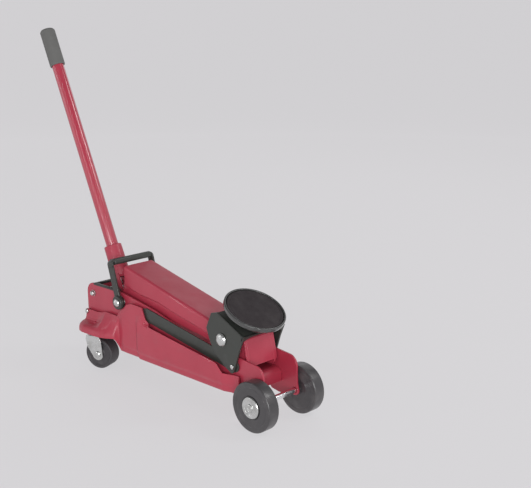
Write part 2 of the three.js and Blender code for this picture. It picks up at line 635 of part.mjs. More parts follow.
function hydraulics() {
  const blockSection = [
    [-26, 62.5], [26, 62.5], [26, 91], [11.5, 91], [11.5, 98], [-11.5, 98], [-11.5, 91], [-26, 91],
  ];
  const lug = [
    [-382, 66], [-347, 66], [-325, 113], ...arc(...HANDLE_PIVOT, 9, -20, 160, 8), [-350, 99], [-382, 99],
  ];
  const lugHole = [[...HANDLE_PIVOT, 5.3]];
  const lugs = [plateY(lug, 25.5, 29.5, lugHole), plateY(lug, -29.5, -25.5, lugHole)];
  const bore = rod(9.4, -372, -340, 24, 'x').translate(0, 0, RAM_AXIS_Z);
  const pumpBore = rod(4.8, 66.4, 95, 16, 'z').translate(PUMP_X, PUMP_Y, 0);
  const boltBore = rod(3.3, -31, 31, 12, 'y').translate(-383.3, 0, 84);
  const valveBore = rod(3.9, -390, -378, 16, 'x').translate(0, 0, 70);
  const plugBore = rod(4.2, 92, 99, 16, 'z').translate(-368, 0, 0);
  const block = join(plateX(blockSection, -387.4, -346), ...lugs);
  add('pump_block', cut(block, bore, pumpBore, boltBore, valveBore, plugBore), CAST_IRON);

  const tank = [
    ...arc(8.5, 70, 6, -90, 0, 3), ...arc(8.5, 92, 6, 0, 90, 3),
    ...arc(-8.5, 92, 6, 90, 180, 3), ...arc(-8.5, 70, 6, 180, 270, 3),
  ];
  add('oil_reservoir', plateX(tank, -345.7, -325, [[0, RAM_AXIS_Z, 12.3, 24]]), CAST_IRON);
  const along_ram = (g) => g.translate(0, 0, RAM_AXIS_Z);
  add('ram_cylinder', along_ram(ring(9.4, 12, -345.7, -325, 28, 'x')), STEEL);
  const gland = [[8.3, -324.7], [13.6, -324.7], [13.6, -321.6], [12.4, -320.4], [8.3, -320.4], [8.3, -324.7]];
  add('ram_gland', along_ram(turned(gland, 24, 'x')), STEEL);

  const ramBody = [[0, -357.5], [9.1, -357.5], [9.1, -352.5], [8, -352.5], [8, -319], [0, -319]];
  const tongue = plateY([
    [-320, RAM_AXIS_Z - 7], [-316, RAM_AXIS_Z - 9.5], [-307, RAM_AXIS_Z - 9.5], [-301.5, RAM_AXIS_Z - 5],
    [-301.5, RAM_AXIS_Z + 5], [-307, RAM_AXIS_Z + 9.5], [-316, RAM_AXIS_Z + 9.5], [-320, RAM_AXIS_Z + 7],
  ], -6, 6, [[LUG[0], RAM_AXIS_Z, LUG_PIN_RADIUS + 1.5]]);
  add('ram', join(along_ram(turned(ramBody, 24, 'x')), tongue), CHROME);
  for (const { name, sign } of SIDES) {
    const spring = coil(2.1, 0.7, 9, -345, -317, 8, 4).rotateY(Math.PI / 2);
    add(`return_spring_${name}`, spring.translate(0, sign * 18, RAM_AXIS_Z), STEEL);
  }

  const valve = [
    [0, -381], [3.6, -381], [3.6, -388.4], [6, -388.4], [6, -394], [5, -395], [2.4, -395], [2.4, -392], [0, -392],
  ];
  add('release_valve', turned(valve, 12, 'x').translate(0, 0, 70), ZINC);
  const plug = [[0, 93], [4, 93], [4, 98.3], [6, 98.3], [6, 100.6], [5, 101.4], [0, 101.4]];
  add('oil_filler_plug', turned(plug, 16, 'z').translate(-368, 0, 0), RUBBER);
  const head = [[0, 42.6], [2.4, 42.2], [3.6, 41.2], [3.8, 39.7], [3, 39.7]];
  add('block_bolt', doubleHeaded(head, 3).translate(-383.3, 0, 84), ZINC);
  add('handle_pivot_pin', rod(5, -30.5, 30.5, 20, 'y').translate(HANDLE_PIVOT[0], 0, HANDLE_PIVOT[1]), STEEL);

  const plunger = [
    [0, 84], [4.5, 84], [4.5, 117.5], [7.2, 117.5], [7.2, 119.5], [4.5, 119.5], [4.5, 121.2], [0, 121.6],
  ];
  const onPump = (g) => g.translate(PUMP_X, PUMP_Y, 0);
  add('pump_plunger', onPump(turned(plunger, 16, 'z')), CHROME);
  add('pump_spring', onPump(coil(5.6, 0.7, 5, 92.1, 116.6, 9, 4)), STEEL);
}

// ---- Pump handle --------------------------------------------------------------------

function pumpHandle() {
  const lean = new THREE.Group();
  lean.position.set(HANDLE_PIVOT[0], 0, HANDLE_PIVOT[1]);
  lean.rotation.y = -HANDLE_LEAN;
  jack.add(lean);
  const tube = turned([
    [0, 20], [12.4, 20], [14.4, 24], [13.8, SOCKET_TOP - 1.2], [12.9, SOCKET_TOP], [10, SOCKET_TOP],
    [10, 23.5], [0, 23.5],
  ], 24, 'z');
  const cheek = [
    ...arc(0, 0, 9, 180, 360, 10), [9.6, 26], [-9.6, 26],
  ];
  const eye = [[0, 0, 5.3]];
  const cheeks = [plateY(cheek, 10, 13.4, eye), plateY(cheek, -13.4, -10, eye)];
  const finger = plateY([
    [-4, -8], [-8, -6], ...arc(...ROLLER, 5, 215, 90, 5), [-9, 26], [-4, 26],
  ], 10, 13.4, [[...ROLLER, 2.7, 12]]);
  const pivotBore = rod(5.3, -15, 15, 20, 'y');
  add('handle_socket', cut(join(tube, ...cheeks, finger), pivotBore), RED_PAINT, lean);
  const onRoller = (g) => g.translate(ROLLER[0], 0, ROLLER[1]);
  const pin = [[0, 8.5], [4, 8.5], [4, 9.7], [2.4, 9.7], [2.4, 24.2], [0, 24.2]];
  add('roller_pin', onRoller(turned(pin, 12, 'y')), ZINC, lean);
  add('pump_roller', onRoller(ring(2.7, 5.5, 15.4, 22.6, 20, 'y')), STEEL, lean);
  add('handle_tube', ring(7.6, TUBE_RADIUS, 24, HANDLE_END - 5, 24, 'z'), RED_PAINT, lean);
  const grip = [
    [TUBE_RADIUS + 0.3, GRIP_START], [11.4, GRIP_START], [12, GRIP_START + 1.5],
    [12, HANDLE_END - 2.5], [10, HANDLE_END], [0, HANDLE_END], [0, HANDLE_END - 4.6],
    [TUBE_RADIUS + 0.3, HANDLE_END - 4.6], [TUBE_RADIUS + 0.3, GRIP_START],
  ];
  add('handle_grip', turned(grip, 24, 'z'), RUBBER, lean);
}

frame();
frontWheels();
for (const { name, sign } of SIDES) caster(name, sign);
arm();
saddle();
links();
carryHandle();
hydraulics();
pumpHandle();

// The origin is on the floor, midway along the whole object.
jack.updateMatrixWorld(true);
const extent = new THREE.Box3().setFromObject(jack, true);
jack.position.x = -(extent.min.x + extent.max.x) / 2;

export default jack;
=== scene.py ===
"""Trolley jack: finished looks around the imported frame. Shapes are laid out in millimetres
from the front axle, with +X towards the saddle, +Y to the jack's left and +Z up."""
import math

import bpy
from mathutils import Matrix, Vector


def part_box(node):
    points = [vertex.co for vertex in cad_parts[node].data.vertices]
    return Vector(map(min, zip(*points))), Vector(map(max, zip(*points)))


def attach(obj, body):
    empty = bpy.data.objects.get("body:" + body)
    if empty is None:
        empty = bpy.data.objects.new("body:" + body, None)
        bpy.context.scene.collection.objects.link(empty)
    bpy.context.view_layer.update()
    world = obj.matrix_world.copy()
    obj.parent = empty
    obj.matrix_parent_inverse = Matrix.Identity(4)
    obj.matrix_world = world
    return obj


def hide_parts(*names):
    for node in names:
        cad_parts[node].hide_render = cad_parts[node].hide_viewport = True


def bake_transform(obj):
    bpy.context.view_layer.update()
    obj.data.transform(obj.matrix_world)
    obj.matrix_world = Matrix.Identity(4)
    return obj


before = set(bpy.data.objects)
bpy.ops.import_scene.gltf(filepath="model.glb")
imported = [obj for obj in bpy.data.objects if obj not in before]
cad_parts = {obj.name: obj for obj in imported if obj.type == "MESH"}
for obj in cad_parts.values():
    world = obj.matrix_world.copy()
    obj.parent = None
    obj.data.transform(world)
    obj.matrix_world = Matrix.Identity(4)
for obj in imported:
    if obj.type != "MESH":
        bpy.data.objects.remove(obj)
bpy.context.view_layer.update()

# ---- Places taken from the frame -----------------------------------------------------

axle_low, axle_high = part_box("front_axle")
AXLE_X = (axle_low.x + axle_high.x) / 2
TO_METRES = Matrix.Translation((AXLE_X, 0, 0)) @ Matrix.Scale(0.001, 4)

PIVOT = (-299.4, 115.1)
LUG = (-311.1, 81.1)
SADDLE_BOLT = (-69, 110)
SADDLE_TILT = math.radians(26)
SADDLE_OFFSET = 5
LINK_REAR = (-276, 104)
RIVET = (33, -22)
HANDLE_PIVOT = (-332.8, 122)
HANDLE_LEAN = math.radians(24.4)
CARRY_LEAN = math.radians(17)
ROLLER = (-18.6, 15.2)
RAM_Z = 80.3
PUMP = (-356, 19)
CASTER = (-357.5, 42)
CASTER_SWIVEL = math.radians(20)
SIDES = (("right", -1), ("left", 1))


def at(x, y, z):
    return Matrix.Translation((x, y, z))


def leaning(place, angle):
    """The frame of something pinned at (x, z) and turned about Y."""
    return at(place[0], 0, place[1]) @ Matrix.Rotation(angle, 4, "Y")


saddle_frame = leaning(SADDLE_BOLT, SADDLE_TILT)
handle_frame = leaning(HANDLE_PIVOT, -HANDLE_LEAN)
carry_frame = leaning(PIVOT, -CARRY_LEAN)

# ---- Outlines ------------------------------------------------------------------------


def arc(cx, cy, radius, start, end, steps=12):
    angles = [math.radians(start + (end - start) * i / steps) for i in range(steps + 1)]
    return [(cx + radius * math.cos(a), cy + radius * math.sin(a)) for a in angles]


def rounded(points, radius, steps=4, ring=False):
    """A polyline with its corners rounded. With ring, its first and last points are corners too."""
    pts = [Vector(p) for p in points]
    out = []
    count = len(pts)
    for i, p in enumerate(pts):
        if not ring and i in (0, count - 1):
            out.append(tuple(p))
            continue
        a, b = pts[i - 1] - p, pts[(i + 1) % count] - p
        if a.length < 1e-6 or b.length < 1e-6:
            continue
        turn = math.pi - a.angle(b)
        if turn < math.radians(8):
            out.append(tuple(p))
            continue
        back = min(radius * math.tan(turn / 2), 0.45 * a.length, 0.45 * b.length)
        first, last = p + a.normalized() * back, p + b.normalized() * back
        for k in range(steps + 1):
            t = k / steps
            q = first * (1 - t) ** 2 + p * 2 * t * (1 - t) + last * t ** 2
            out.append(tuple(q))
    return out


def along(table, x):
    if x <= table[0][0]:
        return table[0][1]
    for (x0, v0), (x1, v1) in zip(table, table[1:]):
        if x <= x1:
            return v0 + (v1 - v0) * (x - x0) / (x1 - x0)
    return table[-1][1]


# ---- Solids, as (vertices, faces) in millimetres -------------------------------------


def from_object(obj):
    """The finished mesh of a scratch object, which is then removed."""
    bpy.context.view_layer.update()
    graph = bpy.context.evaluated_depsgraph_get()
    mesh = bpy.data.meshes.new_from_object(obj.evaluated_get(graph))
    verts = [tuple(v.co) for v in mesh.vertices]
    faces = [tuple(p.vertices) for p in mesh.polygons]
    bpy.data.meshes.remove(mesh)
    data = obj.data
    bpy.data.objects.remove(obj)
    (bpy.data.curves if isinstance(data, bpy.types.Curve) else bpy.data.meshes).remove(data)
    return verts, faces


def scratch(data):
    obj = bpy.data.objects.new("scratch", data)
    bpy.context.scene.collection.objects.link(obj)
    return obj


def moved(part, matrix):
    verts, faces = part
    flip = matrix.determinant() < 0
    verts = [tuple(matrix @ Vector(v)) for v in verts]
    return verts, [tuple(reversed(f)) for f in faces] if flip else faces


def lathe(profile, steps=96, axis="z", soft=0.5):
    """Turns (radius, height) pairs about an axis. A profile that doesn't meet the axis closes on
    itself."""
    ring = profile[0][0] > 0 or profile[-1][0] > 0
    pts = rounded(profile, soft, 3, ring)
    verts, rows = [], []
    for r, h in pts:
        if r < 1e-6:
            rows.append([len(verts)] * steps)
            verts.append((0, 0, h))
        else:
            rows.append(list(range(len(verts), len(verts) + steps)))
            verts += [(r * math.cos(2 * math.pi * i / steps), r * math.sin(2 * math.pi * i / steps), h)
                      for i in range(steps)]
    pairs = list(zip(rows, rows[1:])) + ([(rows[-1], rows[0])] if ring else [])
    faces = []
    for low, high in pairs:
        for i in range(steps):
            j = (i + 1) % steps
            loop = [low[i], low[j], high[j], high[i]]
            face = [v for k, v in enumerate(loop) if v != loop[k - 1]]
            if len(face) > 2:
                faces.append(tuple(face))
    turn = {"z": Matrix.Identity(4), "y": Matrix.Rotation(-math.pi / 2, 4, "X"),
            "x": Matrix.Rotation(math.pi / 2, 4, "Y")}[axis]
    return moved((verts, faces), turn)


def rod(radius, low, high, axis, steps=48, soft=0.5):
    return lathe([(0, low), (radius, low), (radius, high), (0, high)], steps, axis, soft)


def tube(inner, outer, low, high, axis, steps=64, soft=0.4):
    return lathe([(inner, low), (outer, low), (outer, high), (inner, high)], steps, axis, soft)


HOLE_SIDES = 40


def slab(outline, low, high, axis="y", holes=(), soft=0.4, corner=0.0):
    """A plate of an outline, low to high along its axis, with rounded edges. The outline is in
    (x, z) for y, (y, z) for x and (x, y) for z, and each hole is (centre, centre, radius)."""
    outline = rounded(outline, corner, 5, True) if corner else outline
    curve = bpy.data.curves.new("scratch", "CURVE")
    curve.dimensions = "2D"
    curve.fill_mode = "BOTH"
    rings = [outline] + [arc(*hole, 0, 360 - 360 / HOLE_SIDES, HOLE_SIDES - 1) for hole in holes]
    for ring in rings:
        spline = curve.splines.new("POLY")
        spline.points.add(len(ring) - 1)
        for point, (a, b) in zip(spline.points, ring):
            point.co = (a, b, 0, 1)
        spline.use_cyclic_u = True
    soft = min(soft, 0.4 * (high - low))
    curve.extrude = (high - low) / 2 - soft
    curve.bevel_depth = soft
    curve.bevel_resolution = 2
    curve.offset = -soft
    part = from_object(scratch(curve))
    middle = (low + high) / 2
    if axis == "y":
        turn = at(0, middle, 0) @ Matrix.Rotation(math.pi / 2, 4, "X")
    elif axis == "x":
        turn = at(middle, 0, 0) @ Matrix(((0, 0, 1, 0), (1, 0, 0, 0), (0, 1, 0, 0), (0, 0, 0, 1)))
    else:
        turn = at(0, 0, middle)
    return moved(part, turn)


def supported(points, gap):
    """Adds a point just before and after each corner, so that subdivision keeps it tight."""
    pts = [Vector(p) for p in points]
    out = []
    for i, p in enumerate(pts):
        for j in (i - 1, i, i + 1):
            if j == i:
                out.append(p)
            elif 0 <= j < len(pts):
                leg = pts[j] - p
                out.append(p + leg.normalized() * min(gap, 0.4 * leg.length))
    return [tuple(p) for p in out]


def sheet(section, stations, gap_x, gap_s, thickness, side):
    """Pressed sheet metal: section(x) gives one face's (y, z) points at each station, and the
    thickness goes to the given side of it. Each gap says how tight the bends are along x and along
    the section."""
    xs = sorted({round(x + d, 3) for x in stations for d in (-gap_x, 0, gap_x)
                 if stations[0] <= x + d <= stations[-1]})
    rows = [[(x, y, z) for y, z in supported(section(x), gap_s)] for x in xs]
    cols = len(rows[0])
    verts = [p for row in rows for p in row]
    faces = [(i * cols + j, (i + 1) * cols + j, (i + 1) * cols + j + 1, i * cols + j + 1)
             for i in range(len(rows) - 1) for j in range(cols - 1)]
    mesh = bpy.data.meshes.new("scratch")
    mesh.from_pydata(verts, [], faces)
    obj = scratch(mesh)
    solid = obj.modifiers.new("solid", "SOLIDIFY")
    solid.thickness = thickness
    solid.offset = side
    solid.use_even_offset = False
    edge = obj.modifiers.new("edge", "BEVEL")
    edge.width = 0.5
    edge.segments = 2
    edge.limit_method = "ANGLE"
    edge.angle_limit = math.radians(60)
    smooth = obj.modifiers.new("smooth", "SUBSURF")
    smooth.levels = smooth.render_levels = 1
    return from_object(obj)


def coil(radius, wire, turns, low, high, per_turn=28, sides=10):
    """A round wire coiled about +Z."""
    verts, faces = [], []
    count = int(turns * per_turn)
    for i in range(count + 1):
        a = 2 * math.pi * i / per_turn
        z = low + (high - low) * i / count
        for k in range(sides):
            b = 2 * math.pi * k / sides
            r = radius + wire * math.cos(b)
            verts.append((r * math.cos(a), r * math.sin(a), z + wire * math.sin(b)))
    for i in range(count):
        for k in range(sides):
            n = (k + 1) % sides
            faces.append((i * sides + k, (i + 1) * sides + k, (i + 1) * sides + n, i * sides + n))
    faces.append(tuple(range(sides)))
    faces.append(tuple(reversed(range(count * sides, (count + 1) * sides))))
    return verts, faces


def mirror(part, sign):
    return part if sign > 0 else moved(part, Matrix.Scale(-1, 4, (0, 1, 0)))


def double_headed(head, shank, steps=48):
    """A through bolt on Y, from one head's half profile of (radius, distance from the middle)."""
    near = [(r, -h) for r, h in head]
    far = list(reversed(head))
    middle = [] if head[-1][0] == shank else [(shank, -far[0][1]), (shank, far[0][1])]
    return lathe(near + middle + far, steps, "y", 0.6)


def piece(name, parts, material, body, replaced=(), place=None, sharp=32, stretch=None):
    """One finished piece, riding on a body of the frame and standing for some of its nodes. A stretch
    bakes the piece in place, on no body; its (other body, start, end) are not used."""
    verts, faces = [], []
    for part_verts, part_faces in parts:
        base = len(verts)
        verts += part_verts
        faces += [tuple(base + v for v in f) for f in part_faces]
    mesh = bpy.data.meshes.new(name)
    mesh.from_pydata(verts, [], faces)
    mesh.transform(TO_METRES @ (place or Matrix.Identity(4)))
    mesh.validate()
    mesh.shade_smooth()
    mesh.set_sharp_from_angle(angle=math.radians(sharp))
    mesh.materials.append(material)
    obj = bpy.data.objects.new(name, mesh)
    bpy.context.scene.collection.objects.link(obj)
    if stretch:
        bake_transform(obj)
    else:
        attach(obj, body)
    if replaced:
        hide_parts(*replaced)
    return obj


# ---- Materials -----------------------------------------------------------------------


class Look:
    """A small helper to build one procedural material."""

    def __init__(self, name):
        self.material = bpy.data.materials.new(name)
        self.material.use_nodes = True
        self.tree = self.material.node_tree
        self.shader = self.tree.nodes["Principled BSDF"]
        self.place = self.node("ShaderNodeTexCoord").outputs["Object"]

    def node(self, kind, **values):
        node = self.tree.nodes.new(kind)
        for key, value in values.items():
            setattr(node, key, value)
        return node

    def link(self, source, target):
        self.tree.links.new(source, target)

    def noise(self, scale, detail=3.0, rough=0.55, stretch=(1, 1, 1)):
        mapping = self.node("ShaderNodeMapping")
        mapping.inputs["Scale"].default_value = stretch
        self.link(self.place, mapping.inputs["Vector"])
        noise = self.node("ShaderNodeTexNoise")
        noise.inputs["Scale"].default_value = scale
        noise.inputs["Detail"].default_value = detail
        noise.inputs["Roughness"].default_value = rough
        self.link(mapping.outputs["Vector"], noise.inputs["Vector"])
        return noise.outputs["Fac"]

    def ramp(self, source, low, high, out_low=0.0, out_high=1.0):
        ramp = self.node("ShaderNodeMapRange")
        limits = {"From Min": low, "From Max": high, "To Min": out_low, "To Max": out_high}
        for key, value in limits.items():
            ramp.inputs[key].default_value = value
        self.link(source, ramp.inputs["Value"])
        return ramp.outputs["Result"]

    def times(self, a, b):
        node = self.node("ShaderNodeMath", operation="MULTIPLY")
        self.link(a, node.inputs[0])
        self.link(b, node.inputs[1])
        return node.outputs[0]

    def mix(self, factor, first, second):
        node = self.node("ShaderNodeMix", data_type="RGBA")
        self.link(factor, node.inputs["Factor"])
        for socket, value in ((node.inputs["A"], first), (node.inputs["B"], second)):
            if isinstance(value, tuple):
                socket.default_value = (*value, 1)
            else:
                self.link(value, socket)
        return node.outputs["Result"]

    def edges(self, radius=0.0009):
        """Exposed edges, broken up by noise."""
        bevel = self.node("ShaderNodeBevel", samples=4)
        bevel.inputs["Radius"].default_value = radius
        turn = self.node("ShaderNodeVectorMath", operation="DOT_PRODUCT")
        self.link(bevel.outputs["Normal"], turn.inputs[0])
        self.link(self.node("ShaderNodeNewGeometry").outputs["Normal"], turn.inputs[1])
        edge = self.ramp(turn.outputs["Value"], 0.97, 0.8)
        return self.times(edge, self.ramp(self.noise(260, 5), 0.5, 0.64))

    def bump(self, parts):
        """Stacks (height, strength, distance) into the shader's normal."""
        previous = None
        for height, strength, distance in parts:
            bump = self.node("ShaderNodeBump")
            bump.inputs["Strength"].default_value = strength
            bump.inputs["Distance"].default_value = distance
            self.link(height, bump.inputs["Height"])
            if previous:
                self.link(previous, bump.inputs["Normal"])
            previous = bump.outputs["Normal"]
        self.link(previous, self.shader.inputs["Normal"])

    def set(self, **values):
        for key, value in values.items():
            self.shader.inputs[key.replace("_", " ")].default_value = value


def paint(name, colour, dark, rough, coat, wear, peel=0.12):
    look = Look(name)
    tone = look.mix(look.ramp(look.noise(14, 4), 0.3, 0.75), colour, dark)
    dust = look.ramp(look.noise(55, 6, 0.65), 0.56, 0.8, 0, 0.16)
    tone = look.mix(dust, tone, tuple(0.5 * c + 0.13 for c in colour))
    tone = look.mix(look.edges(), tone, wear)
    look.link(tone, look.shader.inputs["Base Color"])
    look.link(look.ramp(look.noise(38, 5), 0.3, 0.72, rough * 0.82, rough * 1.25),
              look.shader.inputs["Roughness"])
    look.set(Coat_Weight=coat, Coat_Roughness=0.06)
    look.bump([(look.noise(900, 2), peel, 0.0004), (look.noise(120, 3), peel * 0.5, 0.0008)])
    return look.material


def metal(name, colour, dark, rough, streak=(1, 1, 1), grain=700, strength=0.1):
    look = Look(name)
    stain = look.ramp(look.noise(70, 6, 0.6), 0.42, 0.78)
    look.link(look.mix(stain, colour, dark), look.shader.inputs["Base Color"])
    look.link(look.ramp(look.noise(grain * 0.3, 4, 0.6, streak), 0.3, 0.7, rough * 0.7, rough * 1.4),
              look.shader.inputs["Roughness"])
    look.set(Metallic=1.0)
    look.bump([(look.noise(grain, 3, 0.6, streak), strength, 0.0003)])
    return look.material


def plastic(name, colour, worn, rough, grain, strength, scuff=(0.5, 0.72), coat=0.0):
    look = Look(name)
    patch = look.ramp(look.noise(42, 6, 0.62), *scuff)
    look.link(look.mix(patch, colour, worn), look.shader.inputs["Base Color"])
    look.link(look.ramp(look.noise(90, 5), 0.3, 0.7, rough * 0.85, min(1.0, rough * 1.2)),
              look.shader.inputs["Roughness"])
    look.set(Coat_Weight=coat, Coat_Roughness=0.2)
    look.bump([(look.noise(grain, 4, 0.6), strength, 0.0005),
               (look.noise(grain * 0.12, 3), strength * 0.5, 0.0008)])
    return look.material


red = paint("red_paint", (0.46, 0.042, 0.075), (0.39, 0.03, 0.058), 0.42, 0.18, (0.2, 0.07, 0.07))
tube_red = paint("tube_paint", (0.46, 0.04, 0.072), (0.40, 0.032, 0.06), 0.22, 1.0,
                 (0.2, 0.07, 0.07), 0.015)
black = paint("black_paint", (0.038, 0.042, 0.036), (0.028, 0.03, 0.027), 0.4, 0.15, (0.12, 0.12, 0.11))
rim_black = paint("saddle_rim", (0.05, 0.05, 0.05), (0.035, 0.036, 0.035), 0.26, 1.0, (0.3, 0.3, 0.29))
trim = plastic("trim", (0.03, 0.032, 0.03), (0.06, 0.06, 0.055), 0.4, 600, 0.1)
wheel = plastic("wheel", (0.045, 0.042, 0.045), (0.075, 0.07, 0.072), 0.42, 500, 0.12, coat=0.4)
caster_black = plastic("caster_wheel", (0.05, 0.046, 0.05), (0.085, 0.08, 0.08), 0.5, 500, 0.14)
zinc = metal("zinc", (0.68, 0.69, 0.68), (0.46, 0.46, 0.44), 0.27, grain=500, strength=0.08)
chrome = metal("chrome", (0.83, 0.84, 0.85), (0.7, 0.7, 0.71), 0.1, streak=(1, 8, 1), strength=0.02)
bright = metal("bright_axle", (0.9, 0.9, 0.92), (0.8, 0.8, 0.81), 0.2, streak=(1, 8, 1), strength=0.03)
steel = metal("steel", (0.42, 0.42, 0.42), (0.24, 0.22, 0.2), 0.34, streak=(1, 8, 1), strength=0.12)
iron = plastic("cast_iron", (0.07, 0.072, 0.075), (0.12, 0.115, 0.11), 0.62, 420, 0.35)
pad_rubber = plastic("saddle_pad", (0.024, 0.017, 0.02), (0.036, 0.028, 0.03), 0.66, 380, 0.3)
grip_rubber = plastic("handle_grip", (0.13, 0.13, 0.125), (0.15, 0.15, 0.145), 0.66, 520, 0.35)
plug_rubber = plastic("plug_rubber", (0.03, 0.03, 0.03), (0.05, 0.05, 0.05), 0.6, 500, 0.2)

# ---- Frame ---------------------------------------------------------------------------

PLATE_OUTLINE = (
    [(-388, 63), (-300, 63), (-286, 46), (-60, 44), (-44, 27), (-30, 24.5)] + arc(0, 35, 7, 250, 370)
    + [(4.4, 46)] + arc(-12, 69.5, 16, 0, 90)
    + [(-141, 98), (-220, 117.5), (-286, 128), (-312, 130.8)] + arc(-372, 115, 16, 90, 180)
)
PLATE_HOLES = [(*PIVOT, 8.3), (0, 35, 4.3), (-371.4, 114.9, 4.3), (-383.3, 84, 3.3), (-205, 52, 4.3)]

EAR_REACH = [(-386, 0.55), (-383, 0.74), (-377, 0.9), (-368, 1), (-338, 1), (-326, 0.94),
             (-316, 0.78), (-309, 0.58), (-304, 0.45)]
EAR_SHELF = [(0, 87.5), (0.6, 81), (1.6, 74.6), (4.4, 70.4), (9.5, 68.4), (17, 67.4), (21.4, 65.8),
             (23.4, 62.4), (23.7, 58)]
EAR_SLOPE = [(0, 91), (3.6, 86), (7.4, 81.2), (11.2, 76.6), (15, 72.2), (18.6, 68.2), (21.6, 64.6),
             (23.4, 61.4), (23.7, 58)]
SKIRT_SHEET = 2.4
EDGE_Y, STRIP_Y, PANEL_Y, CROWN_Y = 36.7, 39.8, 43.1, 37.3
WALL_Y = [(-301, 37.4), (-289, STRIP_Y), (-255.5, STRIP_Y), (-248.5, PANEL_Y), (-66, PANEL_Y),
          (-46, EDGE_Y)]
WALL_TOP = [(-301, 93), (-289, 95), (-253, 96), (-79, 74.5), (-66, 62.5), (-38, 62.5)]
CROWN_TOP = [(-301, 97), (-290, 106), (-280, 115), (-270, 118.6), (-244, 118), (-237, 101),
             (-222, 92.4), (-221, 0)]


def clamp(t):
    return max(0.0, min(1.0, t))


def lerp(a, b, t):
    return tuple(p + (q - p) * t for p, q in zip(a, b))


def skirt_section(x):
    reach, slope = along(EAR_REACH, x), clamp((x + 352) / 18)
    ear = [lerp(a, b, slope) for a, b in zip(EAR_SHELF, EAR_SLOPE)]
    ear = [(EDGE_Y + out * reach, z) for out, z in ear]
    y, top = along(WALL_Y, x), along(WALL_TOP, x)
    crown = max(along(CROWN_TOP, x), top)
    crowned = crown > top + 1
    flange = max(y - 2, EDGE_Y)
    wall = [
        (min(y, CROWN_Y) if crowned else y - 0.7, crown),
        (min(y, CROWN_Y + 1.4) if crowned else y, (crown + top) / 2 - 1),
        (y, top - 3), (y, top * 0.4 + 51 * 0.6), (y, 51), (flange, 46), (flange, 41.5),
        (flange - 0.4, 39.4), (max(flange - 2, EDGE_Y - 1), 38.4),
    ]
    return [lerp(a, b, clamp((x + 305) / 4)) for a, b in zip(ear, wall)]


SKIRT_STATIONS = [-386, -383, -377, -368, -356, -344, -334, -326, -316, -309, -305, -301, -296, -289,
                  -280, -270, -255.5, -248.5, -244, -241, -237, -230, -222, -180, -130, -79, -66,
                  -56, -46, -38]


def build_frame():
    plate = slab(PLATE_OUTLINE, 31, 34, holes=PLATE_HOLES, soft=0.5)
    skirt = sheet(skirt_section, SKIRT_STATIONS, 0.9, 1.1, SKIRT_SHEET, 1)
    low, high = 30.7, 34.3
    strip = [(low - 0.9, 129.2), (low, 129.2), (low, 131.2), (high, 131.2), (high, 129.2),
             (high + 0.9, 129.2), (high + 0.9, 131.6), (high + 0.3, 132.2), (low - 0.3, 132.2),
             (low - 0.9, 131.6)]
    edging = slab(strip, -369, -316, "x", soft=0.2)
    stud = moved(rod(3, 34.3, 36.6, "y"), at(LINK_REAR[0], 0, LINK_REAR[1]))
    for side, sign in SIDES:
        piece(f"side_plate_{side}_look", [mirror(plate, sign)], red, "frame",
              [f"side_plate_{side}"])
        piece(f"side_skirt_{side}_look", [mirror(skirt, sign)], red, "frame",
              [f"side_skirt_{side}"], sharp=50)
        piece(f"edge_trim_{side}_look", [mirror(edging, sign)], trim, "frame",
              [f"edge_trim_{side}"])
        piece(f"link_stud_{side}_look", [mirror(stud, sign)], steel, "frame",
              [f"link_stud_{side}"])
    bent = ([(-112, 58.5), (-112, 55.5), (-46, 59.5)] + arc(-34, 50.5, 7, 90, 0, 10)
            + [(-27, 43), (-24, 43)] + arc(-35, 52, 11, 0, 90, 12) + [(-46, 63)])
    piece("front_cross_plate_look", [slab(bent, -30.7, 30.7)], red, "frame",
          ["front_cross_plate"])
    rear = [(-30.7, 100), (30.7, 100), (30.7, 123), (24, 124.5), (-24, 124.5), (-30.7, 123)]
    piece("rear_cross_plate_look", [slab(rear, -386.5, -383.5, "x")], red, "frame",
          ["rear_cross_plate"])
    lip = [(-387.8, 122.6), (-386.8, 122.6), (-386.8, 124.8), (-383.2, 124.8), (-383.2, 122.6),
           (-382.2, 122.6), (-382.2, 125.4), (-382.8, 126), (-387.2, 126), (-387.8, 125.4)]
    piece("rear_edge_trim_look", [slab(lip, -23, 23, "y", soft=0.2)], trim, "frame",
          ["rear_edge_trim"])
    piece("centre_tie_rod_look", [moved(rod(4, -35.5, 35.5, "y"), at(-205, 0, 52))], steel, "frame",
          ["centre_tie_rod"])
    tie = [(0, 39.6), (2.4, 39.3), (3.9, 37.9), (4.4, 34.9), (5, 34.9), (5, 34.3), (4, 34.3)]
    piece("rear_tie_bolt_look", [moved(double_headed(tie, 4), at(-371.4, 0, 114.9))], zinc, "frame",
          ["rear_tie_bolt"])
    block = [(0, 42.6), (2.4, 42.3), (3.7, 41.2), (4, 39.8), (3, 39.8)]
    piece("block_bolt_look", [moved(double_headed(block, 3), at(-383.3, 0, 84))], zinc, "frame",
          ["block_bolt"])
    cap = [(5.5, 34.3), (7.2, 34.3), (7.2, 41), (11, 41), (11, 42.2), (9.8, 43.4), (5.5, 43.4)]
    cap = moved(lathe(cap, 64, "y"), at(PIVOT[0], 0, PIVOT[1]))
    for side, sign in SIDES:
        piece(f"pivot_cap_{side}_look", [mirror(cap, sign)], black, "frame",
              [f"pivot_cap_{side}"])
    shaft = [(0, 46.9), (2.6, 46.6), (5.2, 45.4), (6.6, 43.6), (5.2, 43.6), (5.2, 33.9), (8, 33.9)]
    piece("main_shaft_look", [moved(double_headed(shaft, 8, 64), at(PIVOT[0], 0, PIVOT[1]))], zinc,
          "frame",
          ["main_shaft"])


# ---- Wheels --------------------------------------------------------------------------


WHEEL_Y, WHEEL_Z, WHEEL_HALF = 44.9, 35, 9.2
AXLE_RADIUS = 4


